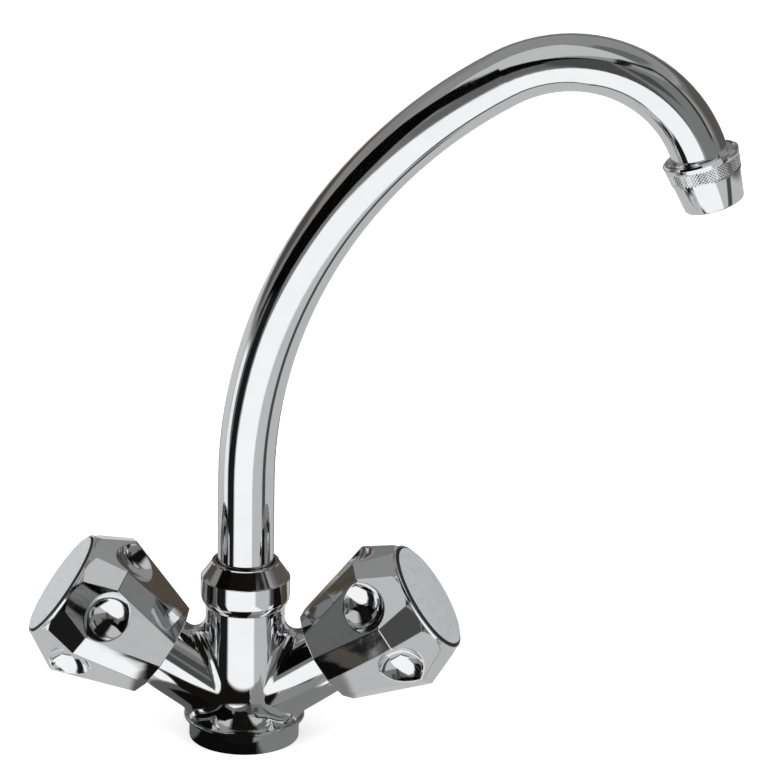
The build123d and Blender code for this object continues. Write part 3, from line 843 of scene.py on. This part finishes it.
    def hang(self, card: Card) -> None:
        """Hangs a card where only the chrome sees it.

        Args:
            card: the card.
        """
        turn, back_shows = card.hang.value
        tilt = (math.radians(turn), 0, 0)
        bpy.ops.mesh.primitive_plane_add(size=self.card_size, location=card.place, rotation=tilt)
        plane = bpy.context.object
        plane.name = card.name
        material, graph, shader = new_material(card.name)
        parts = graph.node("SeparateXYZ", Vector=graph.place())
        place = graph.node("CombineXYZ", X=parts.outputs["X"], Y=parts.outputs["Y"], Z=1.0).outputs["Vector"]
        back = graph.node("NewGeometry").outputs["Backfacing"]
        facing = back if back_shows else graph.maths("SUBTRACT", 1.0, back)
        cover: object = 0.0
        paint: object = card.patches[0].colour
        for patch in card.patches:
            inside = self.inside(graph, place, patch)
            cover = graph.maths("MAXIMUM", cover, inside)
            paint = graph.mixed(inside, paint, patch.colour)
        mix = graph.node("MixShader", Fac=graph.maths("MULTIPLY", facing, cover))
        graph.feed(mix, 1, graph.node("BsdfTransparent").outputs[0])
        graph.feed(mix, 2, graph.node("Emission", Color=paint).outputs[0])
        graph.feed(graph.tree.nodes["Material Output"], "Surface", mix.outputs[0])
        graph.tree.nodes.remove(shader)
        plane.data.materials.append(material)
        plane.visible_camera = False
        plane.visible_diffuse = False
        plane.visible_shadow = False

    def light(self, lamp: Lamp) -> None:
        """Hangs a lamp that looks at the mixer.

        Args:
            lamp: the lamp.
        """
        data = bpy.data.lights.new(lamp.name, "AREA")
        data.shape = "SQUARE"
        data.size = lamp.size
        data.energy = lamp.power
        made = bpy.data.objects.new(lamp.name, data)
        made.location = lamp.place
        made.rotation_euler = (Vector(self.aim) - Vector(lamp.place)).to_track_quat("-Z", "Y").to_euler()
        made.visible_glossy = False
        bpy.context.scene.collection.objects.link(made)

    def build(self) -> None:
        """Builds the whole studio."""
        self.camera()
        self.world()
        self.floor()
        for card in self.cards:
            self.hang(card)
        for lamp in self.lamps:
            self.light(lamp)
        bpy.context.scene.view_settings.view_transform = "Standard"
        LOG.info("studio ready")


# ---- sub-assemblies -----------------------------------------------------------------------------


@dataclass
class SubAssembly:
    """What all sub-assemblies share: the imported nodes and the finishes.

    Args:
        nodes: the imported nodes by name.
        finishes: the mixer's finishes.
    """

    nodes: dict[str, Object]
    finishes: Finishes

    def dress(self, name: str, material: Material) -> None:
        """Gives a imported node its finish.

        Args:
            name: the node's name.
            material: its finish.
        """
        node = self.nodes[name]
        if not node.material_slots:
            node.data.materials.append(material)
        for slot in node.material_slots:
            slot.material = material
        LOG.info("dressed %s in %s", name, material.name)

    def add(self, piece: Object, body: Body, slot: Slot) -> None:
        """Hands a new piece to the body that it moves with.

        Args:
            piece: the new piece, in its place.
            body: the moving body.
            slot: not used.
        """
        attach(piece, body.value)
        LOG.info("built %s on %s", piece.name, body.value)


@dataclass(frozen=True)
class SpoutRoute:
    """The course of the spout's tube in its own upright plane. Lengths are in millimetres, angles in degrees.

    Args:
        swing: how far the plane is turned back from the mixer's right.
        bend_start: the height where the first bend starts.
        bends: each bend's radius and angle.
    """

    swing: float = 7.0
    bend_start: float = 88.0
    bends: tuple[Point, ...] = ((148.0, 62.0), (44.0, 99.0))

    def outlet(self) -> Matrix:
        """The frame of the outlet: origin on the fitting's face, z along the flow of water."""
        along, height, heading = 0.0, self.bend_start, math.radians(90)
        for radius, angle in self.bends:
            after = heading - math.radians(angle)
            along += radius * (math.sin(heading) - math.sin(after))
            height += radius * (math.cos(after) - math.cos(heading))
            heading = after
        swing = math.radians(self.swing)
        out = Vector((math.cos(swing), math.sin(swing), 0))
        flow = math.cos(heading) * out + math.sin(heading) * Vector((0, 0, 1))
        across = Vector((math.sin(swing), -math.cos(swing), 0))
        frame = Matrix((across, flow.cross(across), flow)).transposed().to_4x4()
        frame.translation = (along * out + Vector((0, 0, height))) * MM
        return frame


@dataclass
class BodyAssembly(SubAssembly):
    """The casting, its seal, the spout's nut and bearing rings, and the headworks' fixed parts."""

    def build(self) -> None:
        """Dresses the fixed pieces."""
        self.dress("mixer_body", self.finishes.chrome)
        self.dress("spout_nut", self.finishes.chrome)
        self.dress("base_seal", self.finishes.rubber)
        self.dress("spout_bearing_ring", self.finishes.acetal)
        self.dress("spout_slip_ring", self.finishes.acetal)
        for side in Side:
            self.dress(f"{side.word}_headwork_body", self.finishes.brass)
            self.dress(f"{side.word}_headwork_gasket", self.finishes.fibre)


@dataclass
class SpoutAssembly(SubAssembly):
    """The bent tube with its spigot below and the outlet fitting at its end."""

    def build(self) -> None:
        """Dresses the spout's pieces."""
        self.dress("spout_tube", self.finishes.chrome)
        self.dress("spout_spigot", self.finishes.brass)
        self.dress("spout_o_rings", self.finishes.rubber)
        self.dress("outlet_fitting", self.finishes.chrome)


@dataclass
class AeratorAssembly(SubAssembly):
    """The aerator: knurled housing, washer, drilled insert and screens. Sizes are in millimetres.

    Args:
        route: the spout's course, which ends at the outlet.
        top_radius: the nozzle cone's radius at the fitting's face.
        end_radius: its radius at the mouth.
        length: the housing's length.
        rim: the chamfer of its upper edge and the size of its mouth's rounding.
        mouth: the middle of that rounding, in parts of the rim inwards and up from its corner.
        lead: the chamfer of its thread.
        band: where the knurled band starts and ends.
        band_rise: how far the band stands out.
        knurl: where the knurl starts and ends in the band.
        knurl_rows: the number of rows of points in the knurl.
        knurl_depth: how far the hollows between the points are pressed in.
        steps: the number of steps round the axis, and so of points round the band.
        sharp: the angle in degrees above which an edge stays sharp.
        bores: the steps of the bore as (radius, distance), from the mouth up to the thread.
    """

    route: SpoutRoute = field(default_factory=SpoutRoute)
    top_radius: float = 12.1
    end_radius: float = 9.6
    length: float = 16.6
    rim: float = 0.5
    mouth: Point = (0.3, 0.25)
    lead: float = 0.4
    band: Point = (0.6, 7.0)
    band_rise: float = 0.3
    knurl: Point = (1.5, 6.7)
    knurl_rows: int = 10
    knurl_depth: float = 0.15
    steps: int = 144
    sharp: float = 25.0
    bores: tuple[Point, ...] = ((7.9, 15.65), (8.75, 7.55), (10.0, 5.25), (10.75, 0.4))

    def radius(self, along: float) -> float:
        """The cone's radius at a distance from the fitting's face."""
        return self.top_radius - (self.top_radius - self.end_radius) * along / self.length

    def outline(self) -> tuple[Point, ...]:
        """The housing's outline, from the thread's lead over the band and the nozzle to the bores."""
        start, end = self.band
        points = [(self.bores[-1][0] + self.lead, 0.0), (self.top_radius - self.rim, 0.0)]
        points.append((self.radius(start), start))
        first, last = self.knurl
        rows = [first + (last - first) * row / self.knurl_rows for row in range(self.knurl_rows + 1)]
        points += [(self.radius(along) + self.band_rise, along) for along in (start, *rows, end)]
        points += [(self.radius(end), end), (self.radius(self.length - self.rim), self.length - self.rim)]
        inwards, up = self.mouth
        points.append((self.end_radius - self.rim * inwards, self.length - self.rim * up))
        points.append((self.end_radius - self.rim, self.length))
        below = self.length
        for radius, along in self.bores:
            points += [(radius, below), (radius, along)]
            below = along
        return tuple(points)

    def press_knurl(self, piece: Object) -> None:
        """Presses every other point of the band inwards and folds its faces into small pyramids.

        Args:
            piece: the housing, in edit mode round the Z axis.
        """
        bpy.ops.mesh.select_all(action="DESELECT")
        bpy.ops.object.mode_set(mode="OBJECT")
        first, last = self.knurl
        for vertex in piece.data.vertices:
            along = vertex.co.z / MM
            row = (along - first) / (last - first) * self.knurl_rows
            outside = math.hypot(vertex.co.x, vertex.co.y) > (self.radius(along) + self.band_rise / 2) * MM
            if outside and 0.5 < row < self.knurl_rows - 0.5:
                turn = round(math.atan2(vertex.co.y, vertex.co.x) / (2 * math.pi) * self.steps)
                vertex.select = (turn + round(row)) % 2 == 0
        bpy.ops.object.mode_set(mode="EDIT")
        inwards = 1 - self.knurl_depth / self.top_radius
        bpy.ops.transform.resize(value=(inwards, inwards, 1), center_override=(0, 0, 0))
        bpy.ops.mesh.select_more()
        bpy.ops.mesh.quads_convert_to_tris(quad_method="SHORTEST_DIAGONAL")

    def housing(self) -> None:
        """Turns and knurls the housing, which stands for the plain one."""
        piece = Lathe("knurled_aerator_housing", self.outline(), self.steps).turn()
        self.press_knurl(piece)
        Lathe.place(piece, self.route.outlet(), self.sharp)
        piece.data.materials.append(self.finishes.chrome)
        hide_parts("aerator_housing")
        self.add(piece, Body.SPOUT, Slot.CHROME)

    def build(self) -> None:
        """Builds the housing and dresses the rest."""
        self.housing()
        self.dress("aerator_washer", self.finishes.rubber)
        self.dress("aerator_insert", self.finishes.acetal)
        self.dress("aerator_screens", self.finishes.screen)


@dataclass(frozen=True)
class ArmPlace:
    """Where the arms stand. Lengths are in millimetres, angles in degrees.

    Args:
        height: the height where the arms' axes meet.
        setback: how far they meet behind the column's axis.
        lift: the angle at which they rise.
        forward: the angle at which they lean to the front.
    """

    height: float = 10.0
    setback: float = 1.4
    lift: float = ARM_LIFT
    forward: float = 4.75

    def frame(self, side: Side) -> Matrix:
        """The frame of one arm: z outwards along the arm, x upwards.

        Args:
            side: the arm's side.

        Returns:
            The frame in metres.
        """
        lift, forward = math.radians(self.lift), math.radians(self.forward)
        level = Vector((side.value * math.cos(forward), -math.sin(forward), 0))
        above = Vector((0, 0, 1))
        out = math.cos(lift) * level + math.sin(lift) * above
        up = math.cos(lift) * above - math.sin(lift) * level
        frame = Matrix((up, out.cross(up), out)).transposed().to_4x4()
        frame.translation = Vector((0, self.setback, self.height)) * MM
        return frame


@dataclass
class HandleAssembly(SubAssembly):
    """One handle: knob, cap, screw and what turns with it. Sizes are in millimetres.

    Args:
        side: the side that it stands on.
        arm: where the arms stand.
        ring: the outline of the black ring round the cap, which is painted shade for the groove's shadow, as
            (radius, distance along the arm).
        shade_ring_steps: the number of steps round it.
        shade_ring_sharp: the angle in degrees above which its edges stay sharp.
    """

    side: Side = Side.LEFT
    arm: ArmPlace = field(default_factory=ArmPlace)
    ring: tuple[Point, ...] = (
        (17.32, 71.02), (17.90, 71.02), (17.90, 71.60), (17.66, 72.00), (17.58, 72.46), (17.32, 72.56))
    shade_ring_steps: int = 96
    shade_ring_sharp: float = 60.0

    def cap_groove_shade_ring(self) -> None:
        """Turns the thin black ring that lies in the groove and up the cap's edge, as painted shade for the
        groove's shadow.
        """
        piece = Lathe(f"{self.side.word}_cap_groove_shade_ring", self.ring, self.shade_ring_steps).turn()
        Lathe.place(piece, self.arm.frame(self.side), self.shade_ring_sharp)
        # the black rubber finish on this ring is painted shade: the ring stands for the shadow in the cap's
        # groove
        piece.data.materials.append(self.finishes.rubber)
        self.add(piece, Body(f"{self.side.word}_handle"), Slot.RUBBER)

    def build(self) -> None:
        """Builds the black ring of painted shade round the cap and dresses the handle's pieces."""
        word = self.side.word
        self.cap_groove_shade_ring()
        self.dress(f"{word}_knob", self.finishes.knob_chrome)
        self.dress(f"{word}_knob_cap", self.finishes.satin)
        self.dress(f"{word}_knob_screw", self.finishes.steel)
        self.dress(f"{word}_spindle", self.finishes.brass)
        self.dress(f"{word}_spindle_o_rings", self.finishes.rubber)
        self.dress(f"{word}_circlip", self.finishes.steel)


@dataclass
class ValveAssembly(SubAssembly):
    """One valve's rising parts.

    Args:
        side: the side that it stands on.
    """

    side: Side = Side.LEFT

    def build(self) -> None:
        """Dresses the rising parts."""
        word = self.side.word
        self.dress(f"{word}_valve_carrier", self.finishes.brass)
        self.dress(f"{word}_seat_washer", self.finishes.rubber)
        self.dress(f"{word}_washer_screw", self.finishes.steel)


def clear_start() -> None:
    """Removes the objects of Blender's starting scene."""
    for thing in list(bpy.data.objects):
        bpy.data.objects.remove(thing)


def main() -> None:
    """Builds the studio, dresses the mixer and reports each piece."""
    clear_start()
    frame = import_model()
    Studio().build()
    finishes = Finishes()
    nodes = frame["nodes"]
    BodyAssembly(nodes, finishes).build()
    SpoutAssembly(nodes, finishes).build()
    AeratorAssembly(nodes, finishes).build()
    for side in Side:
        HandleAssembly(nodes, finishes, side).build()
        ValveAssembly(nodes, finishes, side).build()


if __name__ == "__main__":
    main()
